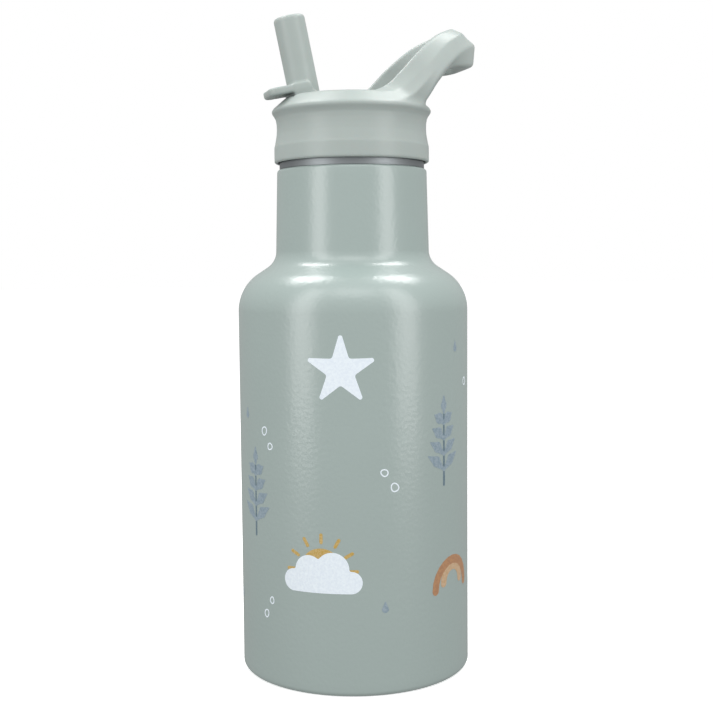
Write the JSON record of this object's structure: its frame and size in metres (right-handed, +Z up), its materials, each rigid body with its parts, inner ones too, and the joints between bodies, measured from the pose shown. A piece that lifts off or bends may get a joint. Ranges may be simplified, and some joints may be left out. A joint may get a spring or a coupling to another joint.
{
  "type": "insulated drinking bottle with flip spout",
  "caption": "Small double-wall steel drinking bottle with a screw lid, a flip-up spout with thumb lever, a straw and a fixed carry loop.",
  "frame": {"origin": "centre of the foot ring's bottom face, on the bottle's own axis", "axes": "+Z up along the bottle's axis, +X from the spout towards the carry loop, +Y to the bottle's left of that"},
  "size_m": [0.0693, 0.065, 0.1835],
  "materials": {
    "powder_coat": "fine pebbled sage-green powder coat, satin",
    "bare_steel": "brushed stainless steel",
    "getter_metal": "dark sintered metal pellet",
    "seal_glass": "fused solder glass",
    "lid_plastic": "fine satin moulded polypropylene, sage green",
    "insert_plastic": "natural white moulded polypropylene",
    "silicone": "translucent white silicone",
    "straw_plastic": "frosted white straw"
  },
  "bodies": {
    "bottle": {"outer_shell": "powder_coat", "inner_vessel": "bare_steel", "inner_bottom": "bare_steel", "base_plate": "bare_steel", "base_cover": "bare_steel", "getter": "getter_metal", "seal_bead": "seal_glass"},
    "gasket": {"neck_gasket": "silicone"},
    "lid": {"lid_shell": "lid_plastic", "lid_insert": "insert_plastic", "spout_seat": "silicone", "vent_valve": "silicone", "straw": "straw_plastic"},
    "spout": {"flip_spout": "lid_plastic"}
  },
  "joints": [
    {"name": "lid_lift", "type": "slide", "parent": "bottle", "child": "gasket", "axis": [0, 0, 1], "range_m": [0, 0.00433]},
    {"name": "lid_turn", "type": "hinge", "parent": "gasket", "child": "lid", "pos_m": [0, 0, 0.15], "axis": [0, 0, 1], "range_deg": [0, 432]},
    {"name": "spout_flip", "type": "hinge", "parent": "lid", "child": "spout", "pos_m": [-0.0127, 0, 0.1577], "axis": [0, 1, 0], "range_deg": [0, 101]}
  ],
  "couplings": [
    {"joint": "lid_lift", "follows": "lid_turn", "m_per_rad": 0.00057296}
  ]
}
